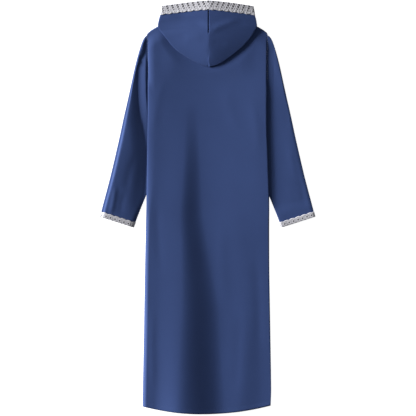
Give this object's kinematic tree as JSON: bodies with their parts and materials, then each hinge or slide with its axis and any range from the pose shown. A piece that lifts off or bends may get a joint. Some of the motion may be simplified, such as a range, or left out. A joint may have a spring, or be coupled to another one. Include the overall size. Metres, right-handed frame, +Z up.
{
  "type": "hooded thobe",
  "caption": "Ankle-length hooded thobe laid flat face down, with long sleeves, a bag-shaped hood open on its back, and scalloped lace on hood and cuffs.",
  "frame": {"origin": "middle of the garment's length and width, on the surface that it lies on", "axes": "+Y from the hem towards the hood, +X to the right as seen from above the back, +Z up from the surface"},
  "size_m": [0.7668, 1.4676, 0.029],
  "materials": {
    "blue_cloth": "matt woven cloth, mid blue",
    "white_lace": "close white lace with grey spots"
  },
  "bodies": {
    "root": {"front_panel": "blue_cloth", "back_panel": "blue_cloth", "sleeve_left": "blue_cloth", "sleeve_right": "blue_cloth", "hood_left": "blue_cloth", "hood_right": "blue_cloth", "hood_trim_left": "white_lace", "hood_trim_right": "white_lace", "cuff_trim_left": "white_lace", "cuff_trim_right": "white_lace"}
  },
  "joints": []
}
